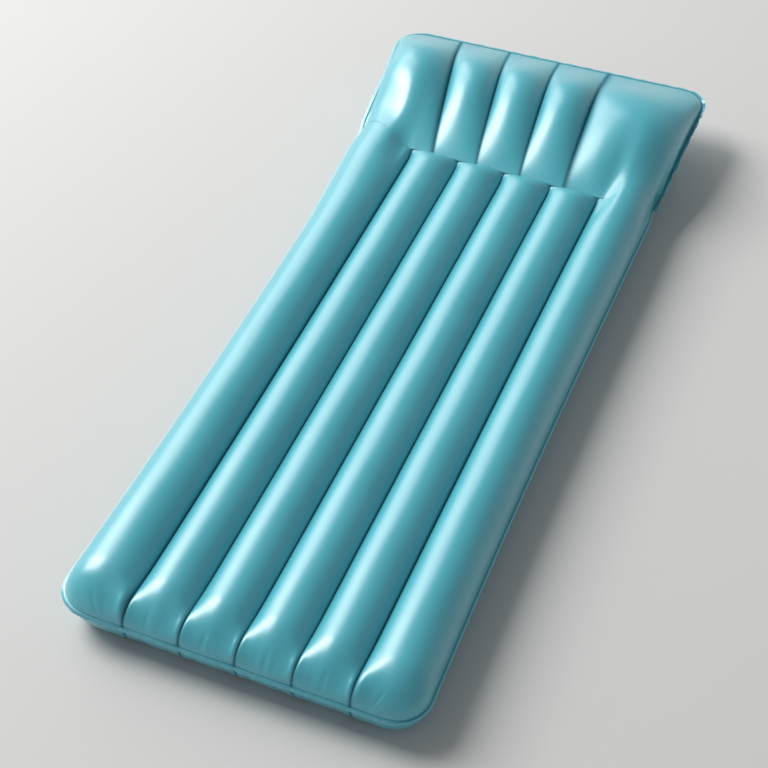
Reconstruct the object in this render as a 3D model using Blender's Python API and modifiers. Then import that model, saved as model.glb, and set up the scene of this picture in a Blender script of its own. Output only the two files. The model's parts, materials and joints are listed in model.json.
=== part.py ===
"""Inflatable pool air mattress with a raised pillow, made of welded vinyl film.

The mattress lies on the ground: +X is its right side, +Y its head end, +Z up, and the origin
is on the ground under its middle.  It has two air chambers, the bed and the pillow.  Each is
closed by a top sheet and a bottom sheet that meet in a flat welded seam round the edge.
Upright ribs inside hold the sheets together along the valleys, and an upright partition parts
the two chambers.  Each chamber has a push-in valve, low on the left side, with a stem, a plug
on a strap and a non-return flap.
"""
import math

import bmesh
import bpy
from mathutils import Matrix, Vector

# Film and welds
FILM = 0.0003                # thickness of the vinyl sheets, ribs and partition
WELD_GAP = 0.0003            # gap between films that are welded together in the real thing
FLANGE_WIDTH = 0.010         # flat welded seam outside the air chambers

# Bed chamber
BED_LENGTH = 1.397           # foot seam to partition
BED_PITCH = 0.109            # valley to valley
BED_INNER_CELLS = 4
BED_RIB_HEIGHT = 0.050
BED_SIDE_WIDTH = 0.124       # outermost rib to the side seam
FOOT_END_LENGTH = 0.080      # length over which the cells round down to the foot seam
FOOT_CORNER_RADIUS = 0.065
BED_HEAD_LENGTH = 0.040      # length over which the cells round down to the partition

# Pillow chamber
PILLOW_LENGTH = 0.413        # partition to head seam
PILLOW_INNER_CELLS = 3
PILLOW_FRONT_PITCH = 0.103   # valley to valley at the partition
PILLOW_HEAD_PITCH = 0.121    # valley to valley at the head seam
PILLOW_FRONT_SHIFT = -0.016  # middle of the valleys at the partition, off the centre line
PILLOW_HEAD_SHIFT = -0.072   # middle of the valleys at the head seam, off the centre line
PILLOW_RIB_HEIGHT = 0.084
PILLOW_SIDE_HEIGHT = 0.084   # crown of the side cells over the seam
PILLOW_FRONT_LENGTH = 0.180  # length over which the pillow rises from the partition
PILLOW_END_LENGTH = 0.150    # length over which the cells slope down to the head seam
HEAD_CORNER_RADIUS = 0.035
PILLOW_TAPER = 0.28          # share of its height that the pillow loses by the head seam
PILLOW_LIFT = 0.049          # rise of the seam from the bed to the head end
HEAD_SKEW = 0.045            # how far the head seam is turned: its right end lies further back

# Outline of the whole mattress
RIB_FLARE = 0.02             # how much wider the valleys stand at the two ends than at the waist
SEAM_FLARE = 0.05            # the same for the side seams
BED_EXTRAS = (0.0065, -0.0075)    # how much further out the left and the right seam lie there
PILLOW_EXTRAS = (0.022, -0.010)
HEAD_EXTRAS = (0.034, -0.010)
LEAN_STRETCH = (1.05, 1.45)       # stretch, from the foot seam, from the bed's to the pillow's
HEAD_STRETCH = (1.60, 1.78)       # stretch from the pillow's to the head's
PARTITION_HEIGHT = 0.080     # height of the partition between the inner cells
PARTITION_SIDE_SHARE = 0.98  # crease in the side cells, as a share of the cell's height
PARTITION_RAMP = 0.45        # part of a side cell's width where the crease rises to that share
PARTITION_BOW = 0.050        # how far the partition's two ends lie towards the head
PARTITION_PINCH = 0.005      # how far the partition draws each side seam in
PINCH_LENGTH = 0.030

# Facets of the cells
CELL_FACETS = 6
BED_SIDE_FACETS = (3, 2)     # outside and inside the level facets of a side cell
PILLOW_SIDE_FACETS = (4, 4)
LEVEL_FACETS = 2
LEVEL_HALF_ANGLE = math.radians(11)
END_ROW_ANGLES = (0, 20, 44, 68, 90)
BED_MIDDLE_ROWS = (0.55, 0.95, 1.22)
SHARP_ANGLE = math.radians(50)

# Ribs
VENT_RADIUS = 0.010          # round holes that let air pass from cell to cell
VENT_SPACING = 0.280
VENT_SIDES = 20

# Valves, measured along the valve's axis outward from the film
VALVE_DISC_RADIUS = 0.0125
VALVE_DISC_THICKNESS = 0.0012
SLEEVE_LENGTH = 0.0090
SLEEVE_WALL = 0.0012
STEM_BORE_RADIUS = 0.0045
STEM_WALL = 0.0015
STEM_LENGTH = 0.0160
STEM_RIM_RADIUS = 0.0080
STEM_RIM_THICKNESS = 0.0010
TONGUE_WIDTH = 0.0050
TONGUE_INSET = 0.0001        # the tongue is this much thinner than the rim on each face
PLUG_CAP_RADIUS = 0.0070
PLUG_CAP_THICKNESS = 0.0016
PLUG_SPIGOT_LENGTH = 0.0040
PLUG_SPIGOT_TAPER = 0.0008
STRAP_WIDTH = 0.0040
STRAP_THICKNESS = 0.0012
STRAP_OVERLAP = 0.0015       # how far the strap runs into the cap
STRAP_REACH = 0.0100         # valve axis to the strap's hinge line
KNUCKLE_RADIUS = 0.0008
KNUCKLE_LENGTH = 0.0044
KNUCKLE_SIDES = 12
FLAP_RADIUS = 0.0052
FLAP_THICKNESS = 0.0008
RUNNING_GAP = 0.00035        # round the stem in its sleeve
SEAT_GAP = 0.0003            # between pieces that lie on each other
TURN_STEPS = 32
MERGE_DISTANCE = 0.00001
BED_VALVE_SPAN = (0.080, 0.240)     # flat stretch round the valve, from the foot seam
PILLOW_VALVE_SPAN = (0.190, 0.250)  # flat stretch round the valve, from the partition
BED_VALVE_FACETS = 1                # whole facets between the side seam and the valve's
PILLOW_VALVE_FACETS = 2

# Colours, and roughness of the surfaces
TEAL = (0.08, 0.36, 0.45)
PALE_BLUE = (0.55, 0.75, 0.80)
FILM_GLOSS = 0.2
VALVE_GLOSS = 0.25

# Values that follow from the ones above
PARTITION_CLEARANCE = 2 * FILM + WELD_GAP
TOTAL_LENGTH = BED_LENGTH + PILLOW_LENGTH
BED_REACH = BED_PITCH * BED_INNER_CELLS / 2
HALF_WIDTH = BED_REACH + BED_SIDE_WIDTH
BED_RIB_TOP = BED_RIB_HEIGHT / 2
BED_SIDE_HEIGHT = (BED_SIDE_WIDTH ** 2 + BED_RIB_TOP ** 2) / (2 * BED_SIDE_WIDTH)
SEAM_Z = BED_SIDE_HEIGHT * math.cos(LEVEL_HALF_ANGLE) + WELD_GAP / 2 + FILM


def ease(distance, length):
    """Quarter ellipse: 0 and upright at distance 0, level at 1 from the given length on."""
    t = min(max(distance / length, 0.0), 1.0)
    return math.sqrt(1 - (1 - t) ** 2)


def smooth(t):
    t = min(max(t, 0.0), 1.0)
    return t * t * (3 - 2 * t)


def waist(s):
    """0 at the waist and 1 at the two ends, s metres from the foot seam."""
    return (2 * s / TOTAL_LENGTH - 1) ** 2


def stretch_share(s, stretch):
    """0 before a stretch of the length and 1 after it."""
    first, last = stretch
    return smooth((s - first) / (last - first))


def half_width(s):
    """Centre line to the side seams, s metres from the foot seam, before what is added to each."""
    width = HALF_WIDTH * (1 + SEAM_FLARE * waist(s))
    width -= PARTITION_PINCH * math.exp(-((s - BED_LENGTH) / PINCH_LENGTH) ** 2)
    width -= FOOT_CORNER_RADIUS * (1 - ease(s, FOOT_CORNER_RADIUS))
    width -= HEAD_CORNER_RADIUS * (1 - ease(TOTAL_LENGTH - s, HEAD_CORNER_RADIUS))
    return width


def pillow_share(s):
    """0 at the partition and 1 at the head seam."""
    return min(max((s - BED_LENGTH) / PILLOW_LENGTH, 0.0), 1.0)


def seam_height(s):
    """Height of the welded seam over the ground."""
    return SEAM_Z + PILLOW_LIFT * (1 - (1 - pillow_share(s)) ** 2)


def seams(s):
    """Places of the left and the right seam across the mattress."""
    width = half_width(s)
    lean = stretch_share(s, LEAN_STRETCH)
    head = stretch_share(s, HEAD_STRETCH)
    left, right = [bed + (pillow - bed) * lean + (end - pillow) * head
                   for bed, pillow, end in zip(BED_EXTRAS, PILLOW_EXTRAS, HEAD_EXTRAS)]
    return -width - left, width + right


def bed_ribs(s):
    reach = BED_REACH * (1 + RIB_FLARE * waist(s))
    return [reach * (2 * i / BED_INNER_CELLS - 1) for i in range(BED_INNER_CELLS + 1)]


def pillow_ribs(s):
    """The valleys spread and lean to the left on their way to the head seam."""
    share = pillow_share(s)
    pitch = PILLOW_FRONT_PITCH + (PILLOW_HEAD_PITCH - PILLOW_FRONT_PITCH) * share
    middle = PILLOW_FRONT_SHIFT + (PILLOW_HEAD_SHIFT - PILLOW_FRONT_SHIFT) * share
    return [middle + pitch * (i - PILLOW_INNER_CELLS / 2) for i in range(PILLOW_INNER_CELLS + 1)]


def side_columns(seam_x, rib_x, rib_top, height, facets):
    """Places across a side cell, from next to the seam to the rib, at even angles."""
    outer, inner = facets
    end = math.pi - math.asin(rib_top / height)
    half = (rib_x - seam_x) / (1 - math.cos(end))
    low = math.pi / 2 - LEVEL_HALF_ANGLE
    high = math.pi / 2 + LEVEL_HALF_ANGLE
    angles = [low * i / outer for i in range(1, outer + 1)]
    angles += [low + (high - low) * i / LEVEL_FACETS for i in range(1, LEVEL_FACETS)]
    angles += [high + (end - high) * i / inner for i in range(inner + 1)]
    return [seam_x + half * (1 - math.cos(angle)) for angle in angles]


def side_points(columns, seam_x, rib_x, rib_top, height):
    """Points over those places on an ellipse that is level round its crown."""
    end = math.pi - math.asin(rib_top / height)
    level = math.cos(LEVEL_HALF_ANGLE)
    points = []
    for x in columns:
        across = min((x - seam_x) / (rib_x - seam_x), 1.0) * (1 - math.cos(end))
        points.append((x, height * min(math.sin(math.acos(1 - across)), level)))
    return points


def inner_cell(left, right, rib_top):
    """Points from after the left rib to the right rib, on a circle centred on the seam's level."""
    half = (right - left) / 2
    radius = math.hypot(half, rib_top)
    start = math.atan2(rib_top, half)
    points = []
    for i in range(1, CELL_FACETS + 1):
        angle = math.pi - start - (math.pi - 2 * start) * i / CELL_FACETS
        points.append((left + half + radius * math.cos(angle), radius * math.sin(angle)))
    return points


def cells(edges, ribs, rib_top, side_height, side_places):
    """Outline of a chamber's upper half, from the left seam to the right seam."""
    sides = []
    for seam_x, rib_x, places in zip(edges, (ribs[0], ribs[-1]), side_places):
        points = side_points(places, seam_x, rib_x, rib_top, side_height)
        sides.append([(seam_x, 0.0)] + points)
    middle = []
    for left, right in zip(ribs, ribs[1:]):
        middle += inner_cell(left, right, rib_top)
    return sides[0] + middle[:-1] + sides[1][::-1]


def bed_sides(s):
    """Places across the bed's two side cells."""
    ribs = bed_ribs(s)
    return [side_columns(seam_x, rib_x, BED_RIB_TOP, BED_SIDE_HEIGHT, BED_SIDE_FACETS)
            for seam_x, rib_x in zip(seams(s), (ribs[0], ribs[-1]))]


def pillow_sides(s):
    """Places across the pillow's two side cells; at the partition they meet the bed's."""
    ribs = pillow_ribs(s)
    share = 1 - smooth((s - BED_LENGTH) / PILLOW_FRONT_LENGTH)
    sides = []
    for seam_x, rib_x, met in zip(seams(s), (ribs[0], ribs[-1]), bed_sides(BED_LENGTH)):
        free = side_columns(seam_x, rib_x, PILLOW_RIB_HEIGHT / 2, PILLOW_SIDE_HEIGHT,
                            PILLOW_SIDE_FACETS)
        more = len(free) - len(met)
        met = met + [met[-1] + (rib_x - met[-1]) * i / more for i in range(1, more + 1)]
        sides.append([a + (b - a) * share for a, b in zip(free, met)])
    return sides


def rib_columns(facets, inner_cells):
    """Places of the ribs in the list that cells() returns."""
    first = sum(facets) + LEVEL_FACETS
    return [first + i * CELL_FACETS for i in range(inner_cells + 1)]


def side_place(x):
    """0 over the bed's inner cells and 1 at the side seams, along the partition."""
    reach = bed_ribs(BED_LENGTH)[-1]
    seam = abs(seams(BED_LENGTH)[x > 0])
    return min(max((abs(x) - reach) / (seam - reach), 0.0), 1.0)


def side_share(x):
    """0 over the bed's inner cells and 1 well inside its side cells."""
    return smooth(side_place(x) / PARTITION_RAMP)


def crease(x):
    """Height of the crease over the partition, above the seam."""
    level = PARTITION_HEIGHT / 2
    end = math.pi - math.asin(BED_RIB_TOP / BED_SIDE_HEIGHT)
    turn = math.acos(1 - (1 - side_place(x)) * (1 - math.cos(end)))
    side = PARTITION_SIDE_SHARE * BED_SIDE_HEIGHT * math.sin(turn)
    return level + (side - level) * side_share(x)


def bow(x):
    """How far the partition lies towards the head at x."""
    return PARTITION_BOW * smooth(side_place(x))


def bed_outline(s):
    foot = ease(s, FOOT_END_LENGTH)
    head = ease(BED_LENGTH - s, BED_HEAD_LENGTH)
    points = cells(seams(s), bed_ribs(s), BED_RIB_TOP, BED_SIDE_HEIGHT, bed_sides(s))
    return [(x, foot * (crease(x) + (z - crease(x)) * head)) for x, z in points]


def pillow_outline(s):
    """The pillow rises steeply from the crease between the side cells and gently in them."""
    along = s - BED_LENGTH
    steep = ease(along, PILLOW_FRONT_LENGTH)
    gentle = smooth(along / PILLOW_FRONT_LENGTH)
    head = math.sin(math.pi / 2 * min((TOTAL_LENGTH - s) / PILLOW_END_LENGTH, 1.0))
    back = smooth((along - PILLOW_FRONT_LENGTH) / (PILLOW_LENGTH - PILLOW_FRONT_LENGTH))
    points = cells(seams(s), pillow_ribs(s), PILLOW_RIB_HEIGHT / 2, PILLOW_SIDE_HEIGHT,
                   pillow_sides(s))
    outline = []
    for x, z in points:
        front = steep + (gentle - steep) * side_share(x)
        full = z * (1 - PILLOW_TAPER * back)
        outline.append((x, head * (crease(x) + (full - crease(x)) * front)))
    return outline


def section(outline, s, first, last, facets):
    """An outline with level ends, and with one left side cell for the stretch round the valve."""
    points = outline(s)
    middle = (first + last) / 2
    if abs(s - middle) <= (last - first) / 2 + MERGE_DISTANCE:
        inner = sum(facets) + LEVEL_FACETS
        points[1:inner] = outline(middle)[1:inner]
    points[0] = (points[0][0], 0.0)
    points[-1] = (points[-1][0], 0.0)
    return points


def bed_section(s):
    """Points (x, height over the seam) of the bed's upper half, s metres from the foot seam."""
    return section(bed_outline, s, *BED_VALVE_SPAN, BED_SIDE_FACETS)


def pillow_section(s):
    """Points (x, height over the seam) of the pillow's upper half, s metres from the foot seam."""
    first, last = PILLOW_VALVE_SPAN
    return section(pillow_outline, s, BED_LENGTH + first, BED_LENGTH + last, PILLOW_SIDE_FACETS)


def end_rows(length):
    """Distances from an end, close together where the film is steep."""
    return [length * (1 - math.cos(math.radians(angle))) for angle in END_ROW_ANGLES]


BED_ROWS = end_rows(FOOT_END_LENGTH)[:-1] + list(BED_VALVE_SPAN + BED_MIDDLE_ROWS)
BED_ROWS += [BED_LENGTH - d for d in reversed(end_rows(BED_HEAD_LENGTH)[:-1])]
PILLOW_ROWS = end_rows(PILLOW_FRONT_LENGTH) + list(PILLOW_VALVE_SPAN)
PILLOW_ROWS += [PILLOW_LENGTH - d for d in reversed(end_rows(PILLOW_END_LENGTH))]
PILLOW_ROWS = [BED_LENGTH + d for d in PILLOW_ROWS]

# The turned head seam adds to the length, and the left side stands out further, so that the
# foot seam lies here and all is moved to the right by this
FOOT_Y = -(TOTAL_LENGTH + HEAD_SKEW * seams(TOTAL_LENGTH)[1]) / 2
MIDDLE_X = -(min(seams(s)[0] for s in PILLOW_ROWS) + max(seams(s)[1] for s in PILLOW_ROWS)) / 2


def place(x, s, z):
    """World position of a point z metres over the seam; rows near the partition bend with it."""
    if s <= BED_LENGTH:
        share = smooth((s - BED_MIDDLE_ROWS[-2]) / (BED_LENGTH - BED_MIDDLE_ROWS[-2]))
    else:
        share = 1 - smooth((s - BED_LENGTH) / PILLOW_FRONT_LENGTH)
    skew = HEAD_SKEW * x * pillow_share(s) ** 2
    return Vector((x + MIDDLE_X, FOOT_Y + s + bow(x) * share + skew, seam_height(s) + z))


def sheet_rows(rows, shape, up):
    """Points of a sheet's inner face, row by row along its length."""
    away = -1 if shape is bed_section else 1
    result = []
    for s in rows:
        row = []
        for x, z in shape(s):
            point = place(x, s, up * (WELD_GAP / 2 + z))
            if abs(s - BED_LENGTH) < PARTITION_CLEARANCE:
                point.y += away * PARTITION_CLEARANCE
            point.z = max(point.z, FILM)
            row.append(point)
        result.append(row)
    return result


def film_sheet(name, rows, shape, up, material):
    """A chamber's top sheet (up = 1) or bottom sheet (up = -1), with its welded flange."""
    grid = sheet_rows(rows, shape, up)
    turn = 1
    if shape is pillow_section:
        grid.reverse()
        turn = -1
    columns = len(grid[0])
    bm = bmesh.new()
    verts = [[bm.verts.new(co) for co in row] for row in grid]
    for low, high in zip(verts, verts[1:]):
        for k in range(columns - 1):
            bm.faces.new((low[k], low[k + 1], high[k + 1], high[k]))
    edge = [row[0] for row in reversed(verts)] + verts[0][1:-1] + [row[-1] for row in verts]
    last = len(edge) - 1
    rim = []
    for i, vert in enumerate(edge):
        run = edge[min(i + 1, last)].co - edge[max(i - 1, 0)].co
        if i in (0, last):
            run.x = 0
        out = Vector((run.y, -run.x, 0)).normalized() * turn
        rim.append(bm.verts.new(vert.co + out * FLANGE_WIDTH))
    for i in range(last):
        bm.faces.new((edge[i], edge[i + 1], rim[i + 1], rim[i]))
    bmesh.ops.recalc_face_normals(bm, faces=bm.faces)
    bm.faces.ensure_lookup_table()
    crown = bm.faces[(columns - 1) * (len(verts) // 2) + columns // 2]
    if crown.normal.z * up < 0:
        bmesh.ops.reverse_faces(bm, faces=bm.faces)
    obj = add_object(name, bm, material)
    wall = obj.modifiers.new("Film", 'SOLIDIFY')
    wall.thickness = FILM
    wall.offset = 1
    wall.use_even_offset = True
    return obj


def add_object(name, bm, material):
    """A mesh object with its own material, shaded smooth up to sharp edges."""
    mesh = bpy.data.meshes.new(name)
    bm.to_mesh(mesh)
    bm.free()
    mesh.shade_smooth()
    mesh.set_sharp_from_angle(angle=SHARP_ANGLE)
    mesh.materials.append(material)
    obj = bpy.data.objects.new(name, mesh)
    parts.objects.link(obj)
    return obj


def add_cutter(name, bm):
    """A cutter or filler, kept out of the part."""
    mesh = bpy.data.meshes.new(name)
    bm.to_mesh(mesh)
    bm.free()
    obj = bpy.data.objects.new(name, mesh)
    cutters.objects.link(obj)
    obj.hide_render = True
    obj.display_type = 'WIRE'
    return obj


def vinyl(name, colour, roughness):
    """Glossy vinyl of one colour."""
    material = bpy.data.materials.new(name)
    material.use_nodes = True
    shader = material.node_tree.nodes["Principled BSDF"]
    shader.inputs["Base Color"].default_value = (*colour, 1.0)
    shader.inputs["Roughness"].default_value = roughness
    shader.inputs["Metallic"].default_value = 0.0
    material.diffuse_color = (*colour, 1.0)
    return material


def strip(name, bm, material):
    """A film strip of the usual thickness, half of it on each side of its faces."""
    obj = add_object(name, bm, material)
    wall = obj.modifiers.new("Film", 'SOLIDIFY')
    wall.thickness = FILM
    wall.offset = 0
    return obj


def ladder(pairs):
    """Faces between neighbouring pairs of points."""
    bm = bmesh.new()
    verts = [(bm.verts.new(a), bm.verts.new(b)) for a, b in pairs]
    for left, right in zip(verts, verts[1:]):
        bm.faces.new((left[0], right[0], right[1], left[1]))
    return bm


def rib(name, rows, shape, column, material):
    """An upright strip between the top and bottom sheets along one valley."""
    pairs = []
    for s in rows:
        x, z = shape(s)[column]
        reach = z - SEAT_GAP
        pairs.append((place(x, s, -reach), place(x, s, reach)))
    obj = strip(name, ladder(pairs), material)
    length = rows[-1] - rows[0]
    count = max(int(length / VENT_SPACING), 1)
    for i in range(count):
        s = rows[0] + length * (i + 0.5) / count
        x = shape(s)[column][0]
        hole = cylinder(f"{name}_vent_{i + 1}", VENT_RADIUS, BED_PITCH / 2, VENT_SIDES)
        hole.location = place(x, s, 0)
        hole.rotation_euler.y = math.pi / 2
        cut(obj, hole)


def partition(name, material):
    """The upright wall between the bed and the pillow, up to the height of the crease."""
    points = bed_section(BED_LENGTH)
    edge = PARTITION_CLEARANCE
    points[0] = (points[0][0] + edge, edge / 2)
    points[-1] = (points[-1][0] - edge, edge / 2)
    pairs = [(place(x, BED_LENGTH, -z), place(x, BED_LENGTH, z)) for x, z in points]
    strip(name, ladder(pairs), material)


def cylinder(name, radius, length, sides):
    """A cutter: a cylinder along its own Z axis, centred on its origin."""
    bm = bmesh.new()
    bmesh.ops.create_cone(bm, cap_ends=True, segments=sides, radius1=radius, radius2=radius,
                          depth=length)
    return add_cutter(name, bm)


def box(name, low, high):
    """A filler block between two corners."""
    bm = bmesh.new()
    bmesh.ops.create_cube(bm, size=1.0)
    for vert in bm.verts:
        vert.co = Vector(a + (b - a) * (c + 0.5) for a, b, c in zip(low, high, vert.co))
    return add_cutter(name, bm)


def cut(obj, tool, operation='DIFFERENCE'):
    change = obj.modifiers.new(tool.name, 'BOOLEAN')
    change.operation = operation
    change.solver = 'EXACT'
    change.object = tool


def turned(name, profile, material, solid=False, shift=(0.0, 0.0)):
    """A round piece: a profile of (radius, height), moved by the shift and turned about Z."""
    bm = bmesh.new()
    verts = [bm.verts.new((r + shift[0], 0, z + shift[1])) for r, z in profile]
    for a, b in zip(verts, verts[1:]):
        bm.edges.new((a, b))
    if not solid:
        bm.edges.new((verts[-1], verts[0]))
    obj = add_object(name, bm, material)
    turn = obj.modifiers.new("Turn", 'SCREW')
    turn.steps = TURN_STEPS
    turn.render_steps = TURN_STEPS
    turn.use_merge_vertices = solid
    turn.merge_threshold = MERGE_DISTANCE
    turn.use_normal_calculate = False
    return obj


def film_frame(shape, start, span, facet):
    """Frame on the bottom sheet's outer face: Z out of the film, X along the mattress."""
    corners = []
    for s in (start + span[0], start + span[1]):
        for x, z in shape(s)[facet:facet + 2]:
            corners.append(place(x, s, -WELD_GAP / 2 - z))
    middle = sum(corners, Vector()) / 4
    along = (corners[2] - corners[0]).normalized()
    out = (corners[1] - corners[0]).cross(along).normalized()
    if out.x > 0:
        out = -out
    frame = Matrix((along, out.cross(along), out)).transposed().to_4x4()
    return Matrix.Translation(middle + out * FILM) @ frame


def empty(name, matrix, parent=None):
    obj = bpy.data.objects.new(name, None)
    obj.empty_display_size = VALVE_DISC_RADIUS
    parts.objects.link(obj)
    obj.parent = parent
    obj.matrix_basis = matrix
    return obj


def valve(name, sheet, frame, material):
    """A push-in valve welded into a bottom sheet, pushed in and closed."""
    axis = empty(f"{name}_axis", frame)
    stem_radius = STEM_BORE_RADIUS + STEM_WALL
    sleeve_bore = stem_radius + RUNNING_GAP
    disc_top = -FILM - SEAT_GAP
    disc_bottom = disc_top - VALVE_DISC_THICKNESS
    sleeve_end = disc_bottom - SLEEVE_LENGTH
    rim_bottom = SEAT_GAP
    rim_top = rim_bottom + STEM_RIM_THICKNESS
    stem_end = rim_top - STEM_LENGTH
    cap_bottom = rim_top + SEAT_GAP

    hole = cylinder(f"{name}_hole", sleeve_bore + SLEEVE_WALL / 2, STEM_LENGTH, TURN_STEPS)
    hole.parent = axis
    cut(sheet, hole)

    base = turned(f"{name}_base", [
        (sleeve_bore, disc_top),
        (VALVE_DISC_RADIUS, disc_top),
        (VALVE_DISC_RADIUS, disc_bottom),
        (sleeve_bore + SLEEVE_WALL, disc_bottom),
        (sleeve_bore + SLEEVE_WALL, sleeve_end),
        (sleeve_bore, sleeve_end)], material)
    base.parent = axis

    stem = turned(f"{name}_stem", [
        (STEM_BORE_RADIUS, rim_top),
        (STEM_RIM_RADIUS, rim_top),
        (STEM_RIM_RADIUS, rim_bottom),
        (stem_radius, rim_bottom),
        (stem_radius, stem_end),
        (STEM_BORE_RADIUS, stem_end)], material)
    stem.parent = axis
    tongue_end = STRAP_REACH + 2 * KNUCKLE_RADIUS
    tongue = box(f"{name}_tongue",
                 (stem_radius, -TONGUE_WIDTH / 2, rim_bottom + TONGUE_INSET),
                 (tongue_end, TONGUE_WIDTH / 2, rim_top - TONGUE_INSET))
    tongue.parent = axis
    cut(stem, tongue, 'UNION')

    hinge_height = cap_bottom + KNUCKLE_RADIUS
    hinge = empty(f"{name}_plug_hinge", Matrix.Translation((STRAP_REACH, 0, hinge_height)), axis)
    centre = empty(f"{name}_plug_centre", Matrix.Translation((-STRAP_REACH, 0, 0)), hinge)
    spigot = STEM_BORE_RADIUS - SEAT_GAP
    spigot_end = cap_bottom - PLUG_SPIGOT_LENGTH
    plug = turned(f"{name}_plug", [
        (0.0, cap_bottom + PLUG_CAP_THICKNESS),
        (PLUG_CAP_RADIUS, cap_bottom + PLUG_CAP_THICKNESS),
        (PLUG_CAP_RADIUS, cap_bottom),
        (spigot, cap_bottom),
        (spigot - PLUG_SPIGOT_TAPER, spigot_end),
        (0.0, spigot_end)], material, True, (-STRAP_REACH, -hinge_height))
    plug.parent = hinge
    plug.modifiers["Turn"].object = centre
    strap_start = PLUG_CAP_RADIUS - STRAP_OVERLAP - STRAP_REACH
    strap = box(f"{name}_strap",
                (strap_start, -STRAP_WIDTH / 2, -STRAP_THICKNESS / 2),
                (0.0, STRAP_WIDTH / 2, STRAP_THICKNESS / 2))
    strap.parent = hinge
    cut(plug, strap, 'UNION')
    knuckle = cylinder(f"{name}_knuckle", KNUCKLE_RADIUS, KNUCKLE_LENGTH, KNUCKLE_SIDES)
    knuckle.rotation_euler.x = math.pi / 2
    knuckle.parent = hinge
    cut(plug, knuckle, 'UNION')

    flap_top = stem_end - SEAT_GAP
    flap_hinge = empty(f"{name}_flap_hinge", Matrix.Translation((-FLAP_RADIUS, 0, flap_top)), axis)
    bm = bmesh.new()
    bmesh.ops.create_cone(bm, cap_ends=True, segments=TURN_STEPS, radius1=FLAP_RADIUS,
                          radius2=FLAP_RADIUS, depth=FLAP_THICKNESS)
    bmesh.ops.translate(bm, verts=bm.verts, vec=(FLAP_RADIUS, 0, -FLAP_THICKNESS / 2))
    flap = add_object(f"{name}_flap", bm, material)
    flap.parent = flap_hinge


for old in list(bpy.data.objects):
    bpy.data.objects.remove(old, do_unlink=True)
parts = bpy.data.collections.new("pool_air_mattress")
cutters = bpy.data.collections.new("cutters")
bpy.context.scene.collection.children.link(parts)
bpy.context.scene.collection.children.link(cutters)

chambers = (
    ("bed", BED_ROWS, bed_section, BED_ROWS[2:-1], rib_columns(BED_SIDE_FACETS, BED_INNER_CELLS)),
    ("pillow", PILLOW_ROWS, pillow_section, PILLOW_ROWS[1:-2],
     rib_columns(PILLOW_SIDE_FACETS, PILLOW_INNER_CELLS)))
bottom_sheets = []
for chamber, rows, shape, rib_rows, columns in chambers:
    film_sheet(f"{chamber}_top_sheet", rows, shape, 1, vinyl(f"{chamber}_top_vinyl", TEAL, FILM_GLOSS))
    bottom_sheets.append(film_sheet(f"{chamber}_bottom_sheet", rows, shape, -1,
                                    vinyl(f"{chamber}_bottom_vinyl", TEAL, FILM_GLOSS)))
    for number, column in enumerate(columns, 1):
        rib(f"{chamber}_rib_{number}", rib_rows, shape, column,
            vinyl(f"{chamber}_rib_{number}_vinyl", TEAL, FILM_GLOSS))
partition("partition", vinyl("partition_vinyl", TEAL, FILM_GLOSS))
valve("bed_valve", bottom_sheets[0], film_frame(bed_section, 0.0, BED_VALVE_SPAN, BED_VALVE_FACETS),
      vinyl("bed_valve_vinyl", PALE_BLUE, VALVE_GLOSS))
valve("pillow_valve", bottom_sheets[1],
      film_frame(pillow_section, BED_LENGTH, PILLOW_VALVE_SPAN, PILLOW_VALVE_FACETS),
      vinyl("pillow_valve_vinyl", PALE_BLUE, VALVE_GLOSS))
bpy.context.view_layer.update()
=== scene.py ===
"""The looks of an inflatable pool air mattress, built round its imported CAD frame.

+X is the mattress's right side, +Y its head end with the pillow, +Z up.  All sizes are metres.
"""
import json
import math

import bmesh
import bpy
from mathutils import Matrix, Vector


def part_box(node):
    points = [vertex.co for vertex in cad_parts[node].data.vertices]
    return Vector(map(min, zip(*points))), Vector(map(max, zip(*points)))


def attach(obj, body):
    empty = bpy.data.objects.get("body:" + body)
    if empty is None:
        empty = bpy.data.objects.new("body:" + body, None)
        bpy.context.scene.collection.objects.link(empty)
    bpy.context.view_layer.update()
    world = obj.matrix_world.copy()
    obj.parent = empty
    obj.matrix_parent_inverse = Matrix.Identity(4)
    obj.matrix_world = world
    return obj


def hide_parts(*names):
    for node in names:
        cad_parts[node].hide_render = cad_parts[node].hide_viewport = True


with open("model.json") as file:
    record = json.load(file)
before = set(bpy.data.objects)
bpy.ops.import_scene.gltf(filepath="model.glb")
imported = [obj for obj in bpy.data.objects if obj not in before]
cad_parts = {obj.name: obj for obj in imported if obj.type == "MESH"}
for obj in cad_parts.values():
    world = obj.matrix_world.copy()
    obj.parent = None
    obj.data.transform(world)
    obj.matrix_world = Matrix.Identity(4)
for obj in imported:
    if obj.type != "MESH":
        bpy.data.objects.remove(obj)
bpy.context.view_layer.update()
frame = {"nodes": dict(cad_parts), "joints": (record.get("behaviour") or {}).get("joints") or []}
bpy.ops.object.select_all(action='DESELECT')


# The bed's two sheets
# A top and a bottom film of glossy teal vinyl, 0.3 mm thick, are welded together round the edge
# and to five upright ribs, so that the air draws six round cells between the lines of welding.  They
# close at the foot seam and at the partition, where the spare film gathers into short pleats.
# Shade is painted into the film along the welding lines, in the partition's crease and at the seams.

FILM = 0.0003
TEAL = (0.052, 0.382, 0.478, 1.0)
PALE_TEAL = (0.084, 0.452, 0.548, 1.0)
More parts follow.
